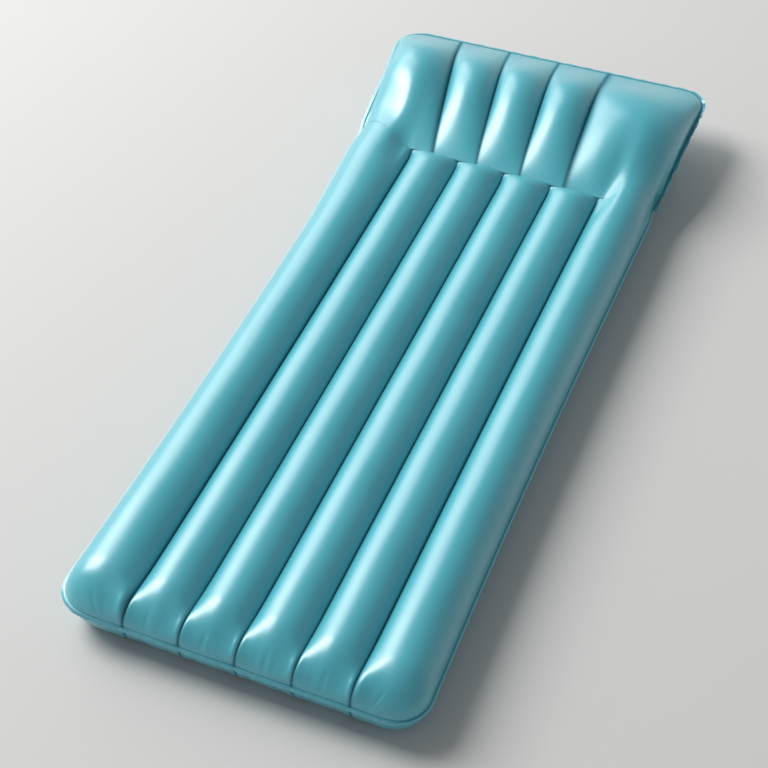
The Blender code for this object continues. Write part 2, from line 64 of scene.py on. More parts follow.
# Dark teal of the painted shade: in the valleys along the ribs, in the crease over the partition and in
# the gap at the seams.
WELD_SHADE_TEAL = (0.006, 0.120, 0.175, 1.0)
VINYL_IOR = 1.53
COAT_ROUGHNESS = 0.29
MOTTLE_SCALE = 5.0
MOTTLE_DETAIL = 3.0
SMUDGE_SCALE = 14.0
SMUDGE_DETAIL = 6.0
SMUDGE_RANGE = (0.35, 0.70)
WELD_DULLING = 0.45
CREASE_STRETCH = (34.0, 9.0, 34.0)
CREASE_DETAIL = 4.0
CREASE_ROUGHNESS = 0.55
CREASE_DEPTH = 0.001


def film_wear_group():
    """Colour, gloss and fine creases that vary over the film, with shade painted along the welding
    lines, one group for sheets and ribs.
    """
    group = bpy.data.node_groups.new("film_wear", 'ShaderNodeTree')
    face = group.interface
    face.new_socket("Film Colour", in_out='INPUT', socket_type='NodeSocketColor')
    face.new_socket("Pale Colour", in_out='INPUT', socket_type='NodeSocketColor')
    face.new_socket("Gloss Low", in_out='INPUT', socket_type='NodeSocketFloat')
    face.new_socket("Gloss High", in_out='INPUT', socket_type='NodeSocketFloat')
    face.new_socket("Crease", in_out='INPUT', socket_type='NodeSocketFloat')
    face.new_socket("Colour", in_out='OUTPUT', socket_type='NodeSocketColor')
    face.new_socket("Roughness", in_out='OUTPUT', socket_type='NodeSocketFloat')
    face.new_socket("Coat", in_out='OUTPUT', socket_type='NodeSocketFloat')
    face.new_socket("Normal", in_out='OUTPUT', socket_type='NodeSocketVector')
    nodes = group.nodes
    link = group.links.new
    given = nodes.new('NodeGroupInput')
    result = nodes.new('NodeGroupOutput')
    place = nodes.new('ShaderNodeTexCoord')

    mottle = nodes.new('ShaderNodeTexNoise')
    mottle.inputs['Scale'].default_value = MOTTLE_SCALE
    mottle.inputs['Detail'].default_value = MOTTLE_DETAIL
    link(place.outputs['Object'], mottle.inputs['Vector'])
    colour = nodes.new('ShaderNodeMix')
    colour.data_type = 'RGBA'
    link(mottle.outputs['Fac'], colour.inputs['Factor'])
    link(given.outputs['Film Colour'], colour.inputs['A'])
    link(given.outputs['Pale Colour'], colour.inputs['B'])
    # This attribute carries the painted shade along the welding lines, the crease and the seams; it
    # also takes the coat off there and makes the film rougher.
    weld_shade = nodes.new('ShaderNodeAttribute')
    weld_shade.attribute_name = "weld_shade"
    line = nodes.new('ShaderNodeMix')
    line.data_type = 'RGBA'
    line.inputs['B'].default_value = WELD_SHADE_TEAL
    link(weld_shade.outputs['Fac'], line.inputs['Factor'])
    link(colour.outputs['Result'], line.inputs['A'])
    link(line.outputs['Result'], result.inputs['Colour'])
    coat = nodes.new('ShaderNodeMath')
    coat.operation = 'SUBTRACT'
    coat.use_clamp = True
    coat.inputs[0].default_value = 1.0
    link(weld_shade.outputs['Fac'], coat.inputs[1])
    link(coat.outputs['Value'], result.inputs['Coat'])

    smudge = nodes.new('ShaderNodeTexNoise')
    smudge.inputs['Scale'].default_value = SMUDGE_SCALE
    smudge.inputs['Detail'].default_value = SMUDGE_DETAIL
    link(place.outputs['Object'], smudge.inputs['Vector'])
    gloss = nodes.new('ShaderNodeMapRange')
    gloss.inputs['From Min'].default_value = SMUDGE_RANGE[0]
    gloss.inputs['From Max'].default_value = SMUDGE_RANGE[1]
    link(smudge.outputs['Fac'], gloss.inputs['Value'])
    link(given.outputs['Gloss Low'], gloss.inputs['To Min'])
    link(given.outputs['Gloss High'], gloss.inputs['To Max'])
    dull = nodes.new('ShaderNodeMath')
    dull.operation = 'MULTIPLY_ADD'
    dull.inputs[1].default_value = WELD_DULLING
    link(weld_shade.outputs['Fac'], dull.inputs[0])
    link(gloss.outputs['Result'], dull.inputs[2])
    link(dull.outputs['Value'], result.inputs['Roughness'])

    stretch = nodes.new('ShaderNodeMapping')
    stretch.inputs['Scale'].default_value = CREASE_STRETCH
    link(place.outputs['Object'], stretch.inputs['Vector'])
    crease = nodes.new('ShaderNodeTexNoise')
    crease.inputs['Scale'].default_value = 1.0
    crease.inputs['Detail'].default_value = CREASE_DETAIL
    crease.inputs['Roughness'].default_value = CREASE_ROUGHNESS
    link(stretch.outputs['Vector'], crease.inputs['Vector'])
    bump = nodes.new('ShaderNodeBump')
    bump.inputs['Distance'].default_value = CREASE_DEPTH
    link(given.outputs['Crease'], bump.inputs['Strength'])
    link(crease.outputs['Fac'], bump.inputs['Height'])
    link(bump.outputs['Normal'], result.inputs['Normal'])
    return group


film_wear = film_wear_group()


def film_material(name, gloss, crease):
    """Teal vinyl film with its own range of roughness and amount of fine creases."""
    material = bpy.data.materials.new(name)
    material.use_nodes = True
    shader = material.node_tree.nodes['Principled BSDF']
    shader.inputs['IOR'].default_value = VINYL_IOR
    shader.inputs['Coat Roughness'].default_value = COAT_ROUGHNESS
    wear = material.node_tree.nodes.new('ShaderNodeGroup')
    wear.node_tree = film_wear
    wear.inputs['Film Colour'].default_value = TEAL
    wear.inputs['Pale Colour'].default_value = PALE_TEAL
    wear.inputs['Gloss Low'].default_value = gloss[0]
    wear.inputs['Gloss High'].default_value = gloss[1]
    wear.inputs['Crease'].default_value = crease
    link = material.node_tree.links.new
    link(wear.outputs['Colour'], shader.inputs['Base Color'])
    link(wear.outputs['Roughness'], shader.inputs['Roughness'])
    link(wear.outputs['Coat'], shader.inputs['Coat Weight'])
    link(wear.outputs['Normal'], shader.inputs['Normal'])
    return material


SHEET_GLOSS = (0.34, 0.42)
SHEET_CREASE = 0.25
WELD_GAP = 0.0003
# Painted shade along the welding lines: its width as a share of a cell, wider near the foot, and its
# share and width in the crease over the partition.
WELD_SHADE_WIDTH = 0.024
WELD_SHADE_FOOT_REACH = 0.045
PARTITION_SHADE_SHARE = 0.7
PARTITION_SHADE_WIDTH = 0.0015
FLANGE_WIDTH = 0.010
FLANGE_STEPS = 4
FLANGE_BEND_START = 0.25
FLANGE_BEND_SPAN = 0.50
# Share of painted shade in the gap at the bed's seam.
BED_SEAM_SHADE = 0.3
RIPPLE_HEIGHT = 0.0002
RIPPLE_RATE = 190
BUCKLE_SECOND_HEIGHT = 0.5
BUCKLE_SECOND_TURNS = 1.7
SHARP_EDGE = math.radians(60)
VALVE_HOLE_RADIUS = 0.00695
VALVE_HOLE_DEPTH = 0.02
VALVE_HOLE_SIDES = 64
VALVE_FLAT_RADIUS = 0.016
VALVE_FLAT_EDGE = 0.024
VALVE_FLAT_REACH = 0.03
BED_LENGTH = 1.397
BED_PITCH = 0.109
BED_INNER_CELLS = 4
BED_RIB_TOP = 0.025
BED_SIDE_WIDTH = 0.124
FOOT_END_LENGTH = 0.095
FOOT_VALLEY_LENGTH = 0.046
FOOT_UNDER_VALLEY_LENGTH = 0.022
FOOT_FACET_LENGTH = 0.056
FOOT_FACET_SHARE = 0.45
FOOT_FACET_ROUND = 0.60
FOOT_VALLEY_SHARE = 0.40
FOOT_UNDER_LENGTH = 0.034
FOOT_UNDER_FILL = 0.75
FOOT_UNDER_FILL_REACH = 0.05
FOOT_UNDER_FILL_SHARE = 0.30
FOOT_VALLEY_RISE = 0.009
FOOT_VALLEY_RISE_PLACE = 0.02
FOOT_VALLEY_RISE_REACH = 0.07
FOOT_VALLEY_RISE_SHARE = 0.12
FOOT_SCALLOP = 0.0015
FOOT_SCALLOP_REACH = 0.03
FOOT_CORNER_RADIUS = 0.065
BED_HEAD_LENGTH = 0.040
PILLOW_LENGTH = 0.413
TOTAL_LENGTH = BED_LENGTH + PILLOW_LENGTH
RIB_FLARE = 0.02
SEAM_FLARE = 0.05
HEAD_CORNER_RADIUS = 0.060
BED_EXTRAS = (0.0065, -0.0075)
PILLOW_EXTRAS = (0.022, -0.010)
HEAD_EXTRAS = (0.034, -0.010)
LEAN_STRETCH = (1.05, 1.45)
HEAD_STRETCH = (1.60, 1.78)
PARTITION_TOP = 0.040
PARTITION_RAMP = 0.45
PARTITION_BOW = 0.050
PARTITION_BOW_LENGTH = 0.45
PARTITION_PINCH = 0.005
PINCH_LENGTH = 0.030
PARTITION_CLEARANCE = 2 * FILM + WELD_GAP
SADDLE_CLEARANCE = 0.00045
SADDLE_RAMP = 0.14
SADDLE_LENGTH = 0.110
PRESSED_ANGLE = math.radians(11)
BED_REACH = BED_PITCH * BED_INNER_CELLS / 2
HALF_WIDTH = BED_REACH + BED_SIDE_WIDTH
BED_SIDE_HEIGHT = (BED_SIDE_WIDTH ** 2 + BED_RIB_TOP ** 2) / (2 * BED_SIDE_WIDTH)
BED_PRESSED_HEIGHT = BED_SIDE_HEIGHT * math.cos(PRESSED_ANGLE)
FOOT_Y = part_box("bed_bottom_sheet")[0].y + FLANGE_WIDTH
SEAM_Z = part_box("bed_top_sheet")[0].z - WELD_GAP / 2
MIDDLE_X = (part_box("bed_rib_3")[0].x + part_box("bed_rib_3")[1].x) / 2
INNER_STEPS = 32
SIDE_STEPS = 44
FOOT_STEPS = 34
TUBE_STEPS = 130
BED_HEAD_STEPS = 14
GROUND_REACH = 0.012
BED_HOLD_LENGTH = 0.05


def ease(distance, length):
    """Quarter ellipse: 0 and upright at distance 0, level at 1 from the given length on."""
    t = min(max(distance / length, 0.0), 1.0)
    return math.sqrt(1 - (1 - t) ** 2)


def smooth(t):
    """0 up to 0 and 1 from 1 on, with a soft start and end."""
    t = min(max(t, 0.0), 1.0)
    return t * t * (3 - 2 * t)


def bell(distance, width):
    """1 at distance 0, falling away to both sides."""
    return math.exp(-(distance / width) ** 2)


def waist(s):
    """0 at the waist and 1 at the two ends, s metres from the foot seam."""
    return (2 * s / TOTAL_LENGTH - 1) ** 2


def stretch_share(s, stretch):
    """0 before a stretch of the length and 1 after it."""
    first, last = stretch
    return smooth((s - first) / (last - first))


def seams(s):
    """Places of the left and the right seam across the mattress."""
    width = HALF_WIDTH * (1 + SEAM_FLARE * waist(s))
    width -= PARTITION_PINCH * bell(s - BED_LENGTH, PINCH_LENGTH)
    width -= FOOT_CORNER_RADIUS * (1 - ease(s, FOOT_CORNER_RADIUS))
    width -= HEAD_CORNER_RADIUS * (1 - ease(TOTAL_LENGTH - s, HEAD_CORNER_RADIUS))
    lean = stretch_share(s, LEAN_STRETCH)
    head = stretch_share(s, HEAD_STRETCH)
    extras = [bed + (pillow - bed) * lean + (end - pillow) * head
              for bed, pillow, end in zip(BED_EXTRAS, PILLOW_EXTRAS, HEAD_EXTRAS)]
    return -width - extras[0], width + extras[1]


def bed_ribs(s):
    """Places of the bed's weld lines across the mattress."""
    reach = BED_REACH * (1 + RIB_FLARE * waist(s))
    return [reach * (2 * i / BED_INNER_CELLS - 1) for i in range(BED_INNER_CELLS + 1)]


def side_height(across, rib_top, height):
    """Height of a side cell: across is 0 at the seam and 1 at the rib."""
    end = math.pi - math.asin(rib_top / height)
    return height * math.sin(math.acos(1 - min(max(across, 0.0), 1.0) * (1 - math.cos(end))))


def cell_points(edges, ribs, rib_top, height):
    """Points (x, height, cell, share across) of a chamber's upper half, from seam to seam."""
    end = math.pi - math.asin(rib_top / height)
    shares = [(1 - math.cos(end * i / SIDE_STEPS)) / (1 - math.cos(end))
              for i in range(SIDE_STEPS + 1)]
    left, right = edges
    points = []
    for share in shares:
        x = left + (ribs[0] - left) * share
        points.append((x, side_height(share, rib_top, height), 0, share))
    for cell, (low, high) in enumerate(zip(ribs, ribs[1:]), 1):
        half = (high - low) / 2
        radius = math.hypot(half, rib_top)
        start = math.atan2(rib_top, half)
        for i in range(1, INNER_STEPS + 1):
            angle = math.pi - start - (math.pi - 2 * start) * i / INNER_STEPS
            points.append((low + half + radius * math.cos(angle), radius * math.sin(angle),
                           cell, i / INNER_STEPS))
    for share in reversed(shares[:-1]):
        x = right + (ribs[-1] - right) * share
        points.append((x, side_height(share, rib_top, height), len(ribs), 1 - share))
    return points


def side_place(x):
    """0 over the bed's inner cells and 1 at the side seams, along the partition."""
    reach = bed_ribs(BED_LENGTH)[-1]
    seam = abs(seams(BED_LENGTH)[x > 0])
    return min(max((abs(x) - reach) / (seam - reach), 0.0), 1.0)


def side_share(x):
    """0 over the inner cells and 1 over the side cells, for the crease's height."""
    return smooth(side_place(x) / PARTITION_RAMP)


def saddle_share(x):
    """0 over the inner cells and 1 over the side cells, which run into the pillow smoothly."""
    return smooth(side_place(x) / SADDLE_RAMP)


def clearance(x):
    """Distance from the partition's plane to the edge of each film, along the mattress."""
    return PARTITION_CLEARANCE + (SADDLE_CLEARANCE - PARTITION_CLEARANCE) * saddle_share(x)


def crease(x):
    """Height of the crease over the partition, above the seam."""
    side = side_height(1 - side_place(x), BED_RIB_TOP, BED_SIDE_HEIGHT)
    return PARTITION_TOP + (side - PARTITION_TOP) * side_share(x)


def bow(x):
    """How far the partition bows towards the head over the side cells."""
    return PARTITION_BOW * smooth(side_place(x))


def off_valley(cell, across):
    """Distance from the nearest valley, as a share of the cell's width."""
    if cell == 0:
        return 1 - across
    if cell > BED_INNER_CELLS:
        return across
    return min(across, 1 - across)


def cell_middle(across):
    """1 in the middle of a cell and 0 at its welds."""
    return math.sin(math.pi * min(max(across, 0.0), 1.0))


def facet(t):
    """A straight slope from 0 that rounds off to level at 1."""
    if t < 1 - FOOT_FACET_ROUND:
        return t
    return 1 - max(1 + FOOT_FACET_ROUND - t, 0.0) ** 2 / (4 * FOOT_FACET_ROUND)


def foot_rise(s, off, up):
    """The cells close like an envelope: steep by the valleys, a flat slanting facet between."""
    middle = smooth(off / FOOT_VALLEY_SHARE)
    valley, end = FOOT_VALLEY_LENGTH, FOOT_END_LENGTH
    if up < 0:
        valley, end = FOOT_UNDER_VALLEY_LENGTH, FOOT_UNDER_LENGTH
    rise = ease(s, valley + (end - valley) * middle)
    if up < 0:
        return rise
    return rise + (facet(s / FOOT_FACET_LENGTH) - rise) * FOOT_FACET_SHARE * middle


def bed_row(s, up):
    """The bed's upper or lower half, s metres from the foot seam."""
    steep = ease(BED_LENGTH - s, BED_HEAD_LENGTH)
    soft = smooth((BED_LENGTH - s) / SADDLE_LENGTH)
    row = []
    for x, z, cell, across in cell_points(seams(s), bed_ribs(s), BED_RIB_TOP, BED_SIDE_HEIGHT):
        off = off_valley(cell, across)
        foot = foot_rise(s, off, up)
        if up < 0:
            fill = FOOT_UNDER_FILL * bell(s, FOOT_UNDER_FILL_REACH) * bell(off, FOOT_UNDER_FILL_SHARE)
            z += (BED_SIDE_HEIGHT - z) * fill
        else:
            reach = bell(s - FOOT_VALLEY_RISE_PLACE, FOOT_VALLEY_RISE_REACH)
            z += FOOT_VALLEY_RISE * reach * bell(off, FOOT_VALLEY_RISE_SHARE)
        head = steep + (soft - steep) * saddle_share(x) * (z > crease(x))
        row.append((x, foot * (crease(x) + (z - crease(x)) * head), cell, across))
    return row


def bed_place(x, s, z, across):
    """The place in the scene of a point of the bed, bowed at the head and scalloped at the foot."""
    share = smooth((s - BED_LENGTH + PARTITION_BOW_LENGTH) / PARTITION_BOW_LENGTH)
    scallop = FOOT_SCALLOP * cell_middle(across) * bell(s, FOOT_SCALLOP_REACH)
    return Vector((x + MIDDLE_X, FOOT_Y + s + bow(x) * share - scallop, SEAM_Z + z))


# A fold or pleat is (height, place and width across the cell, distance and reach from the seam).
# A gather is (height, distance and reach from the seam, two waves), and each wave is (radians
# across a cell, shift from cell to cell).  An uneven wave is (radians for each metre across, and
# along, shift).
FOOT_FOLD = (0.0040, 0.90, 0.035, 0.022, 0.014)
FOOT_PLEAT = (-0.0014, 0.46, 0.022, 0.016, 0.014)
FOOT_PLEAT_WANDER = 0.05
FOOT_PLEAT_SHIFT = 5
FOOT_GATHER = (0.0002, 0.008, 0.010, ((47, 2.1), (83, 4.7)))
SECOND_WAVE_HEIGHT = 0.6
BEAD_HEIGHT = 0.0007
BEAD_PLACE = 0.045
BEAD_WIDTH = 0.018
BEAD_START = 0.12
UNEVEN_HEIGHT = 0.00035
UNEVEN_WAVES = ((7.0, 11.0, 0.0), (-31.0, 23.0, 1.3))


def pleat(shape, across, distance, wander=0.0):
    """Height of one fold or pleat at a place in a cell."""
    height, place, width, start, reach = shape
    return height * bell(across - place - wander, width) * bell(distance - start, reach)


def gather(shape, across, cell, distance):
    """Height of the fine waves in which a seam gathers the spare film."""
    height, start, reach, (first, second) = shape
    wave = math.sin(across * first[0] + cell * first[1])
    wave += SECOND_WAVE_HEIGHT * math.sin(across * second[0] + cell * second[1])
    return height * wave * bell(distance - start, reach)


def bed_pleats(s, cell, across):
    """Spare film gathered at the foot seam: a fold beside each weld and small pleats between."""
    bead = BEAD_HEIGHT * bell(across - BEAD_PLACE, BEAD_WIDTH) * smooth(s / BEAD_START)
    gathers = gather(FOOT_GATHER, across, cell, s) * math.sin(math.pi * across)
    wander = FOOT_PLEAT_WANDER * math.sin(cell * FOOT_PLEAT_SHIFT)
    return pleat(FOOT_FOLD, across, s) + bead + gathers + pleat(FOOT_PLEAT, across, s, wander)


def unevenness(x, y):
    """Slow swells of the film, so that no cell is perfectly straight."""
    return UNEVEN_HEIGHT * sum(math.sin(along * y + across * x + shift)
                               for across, along, shift in UNEVEN_WAVES)


def weld_shade_lines(facts, last_cell):
    """Painted shade: 1 along the welding lines to the ribs, less at the crease, fading out within a few
    millimetres.
    """
    shares = []
    for row in facts:
        for left, cell, across, width in row:
            off = 1.0
            if cell > 0:
                off = across
            if cell < last_cell:
                off = min(off, 1 - across)
            # Painted shade in the crease over the partition.
            crease_shade = PARTITION_SHADE_SHARE * bell(left, PARTITION_SHADE_WIDTH)
            shares.append(max(bell(off, width), crease_shade))
    return shares


def normals_of(grid):
    """Upward normals of a grid of points."""
    result = []
    last_row = len(grid) - 1
    last = len(grid[0]) - 1
    for r, row in enumerate(grid):
        normals = []
        for c in range(len(row)):
            along = grid[min(r + 1, last_row)][c] - grid[max(r - 1, 0)][c]
            across = row[min(c + 1, last)] - row[max(c - 1, 0)]
            normals.append(across.cross(along).normalized())
        result.append(normals)
    return result


def edge_wave(distance, buckles):
    """How far the flange's outer edge buckles: buckles holds (place, reach, height, pitch)."""
    wave = RIPPLE_HEIGHT * math.sin(distance * RIPPLE_RATE)
    for place, reach, height, pitch in buckles:
        turn = distance * 2 * math.pi / pitch
        buckle = math.sin(turn) + BUCKLE_SECOND_HEIGHT * math.sin(BUCKLE_SECOND_TURNS * turn)
        wave += height * bell(distance - place, reach) * buckle
    return wave


def film_mesh(name, grid, weld_shades, outwards, tilts, buckles, up, seam):
    """A sheet from its rows of points, with the flange beyond its open edge, and the painted shade
    along its welding lines and in the gap at its seam.
    """
    bm = bmesh.new()
    verts = [[bm.verts.new(point) for point in row] for row in grid]
    for low, high in zip(verts, verts[1:]):
        for k in range(len(low) - 1):
            bm.faces.new((low[k], low[k + 1], high[k + 1], high[k]))
    edge = [row[0] for row in reversed(verts)] + verts[0][1:-1] + [row[-1] for row in verts]
    left, end, right = [math.radians(angle) for angle in tilts]
    last = len(edge) - 1
    distance = 0.0
    rings = []
    for i, vert in enumerate(edge):
        if i:
            distance += (vert.co - edge[i - 1].co).to_2d().length
        run = edge[min(i + 2, last)].co - edge[max(i - 2, 0)].co
        if i in (0, last):
            run.x = 0
        out = Vector((run.y, -run.x, 0)).normalized() * outwards
        side = left if out.x < 0 else right
        tilt = side * out.x ** 2 + end * out.y ** 2 + edge_wave(distance, buckles) / FLANGE_WIDTH
        ring = [vert]
        for step in range(1, FLANGE_STEPS + 1):
            share = step / FLANGE_STEPS
            angle = tilt * smooth((share - FLANGE_BEND_START) / FLANGE_BEND_SPAN)
            way = out * math.cos(angle) + Vector((0, 0, math.sin(angle)))
            ring.append(bm.verts.new(ring[-1].co + way * (FLANGE_WIDTH / FLANGE_STEPS)))
        rings.append(ring)
    for a, b in zip(rings, rings[1:]):
        for step in range(FLANGE_STEPS):
            bm.faces.new((a[step], b[step], b[step + 1], a[step + 1]))
    bmesh.ops.recalc_face_normals(bm, faces=bm.faces)
    bm.faces.ensure_lookup_table()
    crown = bm.faces[(len(grid[0]) - 1) * (len(grid) // 2) + len(grid[0]) // 2]
    if crown.normal.z * up < 0:
        bmesh.ops.reverse_faces(bm, faces=bm.faces)
    mesh = bpy.data.meshes.new(name)
    bm.to_mesh(mesh)
    bm.free()
    # Painted shade along the welding lines; the first ring of the flange gets the painted shade of the
    # seam's gap.
    lines = mesh.attributes.new("weld_shade", 'FLOAT', 'POINT')
    outer = [seam, 0.0, 0.0, 0.0] * ((len(mesh.vertices) - len(weld_shades)) // FLANGE_STEPS)
    lines.data.foreach_set("value", weld_shades + outer)
    obj = bpy.data.objects.new(name, mesh)
    bpy.context.scene.collection.objects.link(obj)
    return obj


def finish_film(obj, material, node):
    """Gives a sheet its wall and material, and puts it in its CAD node's place."""
    bpy.ops.object.select_all(action='DESELECT')
    obj.select_set(True)
    bpy.context.view_layer.objects.active = obj
    wall = obj.modifiers.new("Wall", 'SOLIDIFY')
    wall.thickness = FILM
    wall.offset = 1
    wall.use_even_offset = False
    bpy.ops.object.modifier_apply(modifier=wall.name)
    bpy.ops.object.shade_smooth_by_angle(angle=SHARP_EDGE)
    obj.data.materials.append(material)
    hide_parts(node)
    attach(obj, "mattress")


def valve_hole(obj, joint):
    """The round hole in which the valve's sleeve is welded."""
    out = Vector(joint["axis"])
    bpy.ops.object.select_all(action='DESELECT')
    bpy.ops.mesh.primitive_cylinder_add(vertices=VALVE_HOLE_SIDES, radius=VALVE_HOLE_RADIUS,
                                        depth=VALVE_HOLE_DEPTH, location=joint["pos_m"],
                                        rotation=out.to_track_quat('Z', 'Y').to_euler())
    punch = bpy.context.object
    hole = obj.modifiers.new("Valve hole", 'BOOLEAN')
    hole.object = punch
    hole.solver = 'EXACT'
    bpy.ops.object.select_all(action='DESELECT')
    obj.select_set(True)
    bpy.context.view_layer.objects.active = obj
    bpy.ops.object.modifier_apply(modifier=hole.name)
    bpy.data.objects.remove(punch, do_unlink=True)


def rows_between(start, stop, count):
    """Evenly spaced rows between two distances, without the two ends."""
    return [start + (stop - start) * i / count for i in range(1, count)]


def rounded_rows(length, count):
    """Distances from an end, close together where the film is steep."""
    return [length * (1 - math.cos(math.pi / 2 * i / count)) for i in range(count + 1)]


def valve_flat(points, joint):
    """Presses the film flat round a valve, on the plane that its disc is welded to."""
    centre = Vector(joint["pos_m"])
    out = Vector(joint["axis"]).normalized()
    for row in points:
        for i, point in enumerate(row):
            gap = point - centre
            height = gap.dot(out)
            across = (gap - out * height).length
            if abs(height) < VALVE_FLAT_REACH:
                share = 1 - smooth((across - VALVE_FLAT_RADIUS) / VALVE_FLAT_EDGE)
                row[i] = point - out * (height + FILM) * share


# The flange's tilts are in degrees, at the left, the end and the right.  Each buckle is (place,
# reach, height, pitch), with its place measured along the edge from the partition's left end.
BED_ROWS = rounded_rows(FOOT_END_LENGTH, FOOT_STEPS)
BED_ROWS += rows_between(FOOT_END_LENGTH, BED_LENGTH - BED_HEAD_LENGTH, TUBE_STEPS)
BED_ROWS += [BED_LENGTH - d for d in reversed(rounded_rows(BED_HEAD_LENGTH, BED_HEAD_STEPS))]
BED_TILTS = (-20, -78, -80)
BED_BUCKLES = ((BED_LENGTH + 0.35, 0.25, 0.0022, 0.026), (BED_LENGTH + 0.69, 0.04, 0.0030, 0.017))
joints = {joint["name"]: joint for joint in frame["joints"]}


def bed_grid(up):
    """Points of the bed's upper or lower film, and how much shade is painted along its welding lines at
    each of them.
    """
    points = []
    facts = []
    for s in BED_ROWS:
        row = bed_row(s, up)
        near = s >= BED_LENGTH
        line = []
        for x, z, cell, across in row:
            if up < 0:
                z = min(z, BED_PRESSED_HEIGHT)
            point = bed_place(x, min(s, BED_LENGTH), up * (WELD_GAP / 2 + max(z, 0.0)), across)
            if near:
                point.y -= clearance(x)
            line.append(point)
        points.append(line)
        facts.append([(s, cell, across) for x, z, cell, across in row])
    normals = normals_of(points)
    for line, fact, normal in zip(points, facts, normals):
        for i in range(1, len(line) - 1):
            s, cell, across = fact[i]
            hold = cell_middle(across) * ease(BED_LENGTH - s, BED_HOLD_LENGTH)
            move = (bed_pleats(s, cell, across) + unevenness(line[i].x, line[i].y)) * hold
            if up > 0 or line[i].z > GROUND_REACH:
                line[i] = line[i] + normal[i] * (move * up)
    facts = [[(BED_LENGTH - s + saddle_share(point.x - MIDDLE_X), cell, across,
               WELD_SHADE_WIDTH * (1 + bell(s, WELD_SHADE_FOOT_REACH)))
              for (s, cell, across), point in zip(fact, line)] for fact, line in zip(facts, points)]
    return points, weld_shade_lines(facts, BED_INNER_CELLS + 1)


points, weld_shades = bed_grid(1)
bed_top = film_mesh("bed_top_film", points, weld_shades, 1, BED_TILTS, BED_BUCKLES, 1,
                    BED_SEAM_SHADE)
bed_top_vinyl = film_material("bed_top_vinyl", SHEET_GLOSS, SHEET_CREASE)
finish_film(bed_top, bed_top_vinyl, "bed_top_sheet")

points, weld_shades = bed_grid(-1)
valve_flat(points, joints["bed_stem_pull"])
bed_bottom = film_mesh("bed_bottom_film", points, weld_shades, 1, BED_TILTS, BED_BUCKLES, -1,
                       BED_SEAM_SHADE)
bed_bottom_vinyl = film_material("bed_bottom_vinyl", SHEET_GLOSS, SHEET_CREASE)
finish_film(bed_bottom, bed_bottom_vinyl, "bed_bottom_sheet")
valve_hole(bed_bottom, joints["bed_stem_pull"])


# The pillow's two sheets
# The pillow is an air chamber of its own at the head.  Its films are cut longer than the bed's,
# so it stands higher.  Four ribs part its cells, and the wide outer cells run on from the bed's
# side cells in a soft saddle.

PILLOW_INNER_CELLS = 3
PILLOW_FRONT_PITCH = 0.103
PILLOW_HEAD_PITCH = 0.121
PILLOW_FRONT_SHIFT = -0.016
PILLOW_HEAD_SHIFT = -0.072
PILLOW_RIB_TOP = 0.042
PILLOW_SIDE_HEIGHT = 0.084
PILLOW_FRONT_LENGTH = 0.240
PILLOW_END_LENGTH = 0.150
PILLOW_TAPER = 0.28
PILLOW_LIFT = 0.049
PILLOW_ARCH_LENGTH = 0.280
PILLOW_SHOULDER = 0.085
PILLOW_RIB_ROOM = 0.0008
PILLOW_SWELL = 0.30
PILLOW_CROWN_END = 0.260
PILLOW_SADDLE_START = 0.050
PILLOW_SADDLE_RAMP = 0.090
PILLOW_BACK_START = 0.180
PILLOW_CROWN_BACK_START = 0.200
PILLOW_SHOULDER_SHARE = 0.15
PILLOW_FRONT_STEPS = 34
PILLOW_CROWN_STEPS = 20
PILLOW_END_STEPS = 30
PILLOW_HOLD_LENGTH = 0.02
HEAD_HOLD_LENGTH = 0.01
HEAD_SKEW = 0.045
# Painted shade along the pillow's welding lines and in the gap at its seam.
PILLOW_WELD_SHADE_WIDTH = 1.9 * WELD_SHADE_WIDTH
PILLOW_SEAM_SHADE = 0.9
HEAD_GATHER = (0.0004, 0.010, 0.014, ((41, 1.7), (73, 3.9)))
HEAD_PLEAT = (-0.0012, 0.30, 0.03, 0.035, 0.025)


def pillow_ribs(share):
    """Places of the pillow's weld lines, which lean to the left towards the head."""
    pitch = PILLOW_FRONT_PITCH + (PILLOW_HEAD_PITCH - PILLOW_FRONT_PITCH) * share
    middle = PILLOW_FRONT_SHIFT + (PILLOW_HEAD_SHIFT - PILLOW_FRONT_SHIFT) * share
    return [middle + pitch * (i - PILLOW_INNER_CELLS / 2) for i in range(PILLOW_INNER_CELLS + 1)]


def quarter_wave(distance, length):
    """0 at distance 0 and 1, level, from the given length on."""
    return math.sin(math.pi / 2 * min(distance / length, 1.0))


def pillow_rise(along):
    """Rise of the side seam from the partition to the head."""
    return PILLOW_LIFT * (1 - (1 - along / PILLOW_LENGTH) ** 2)


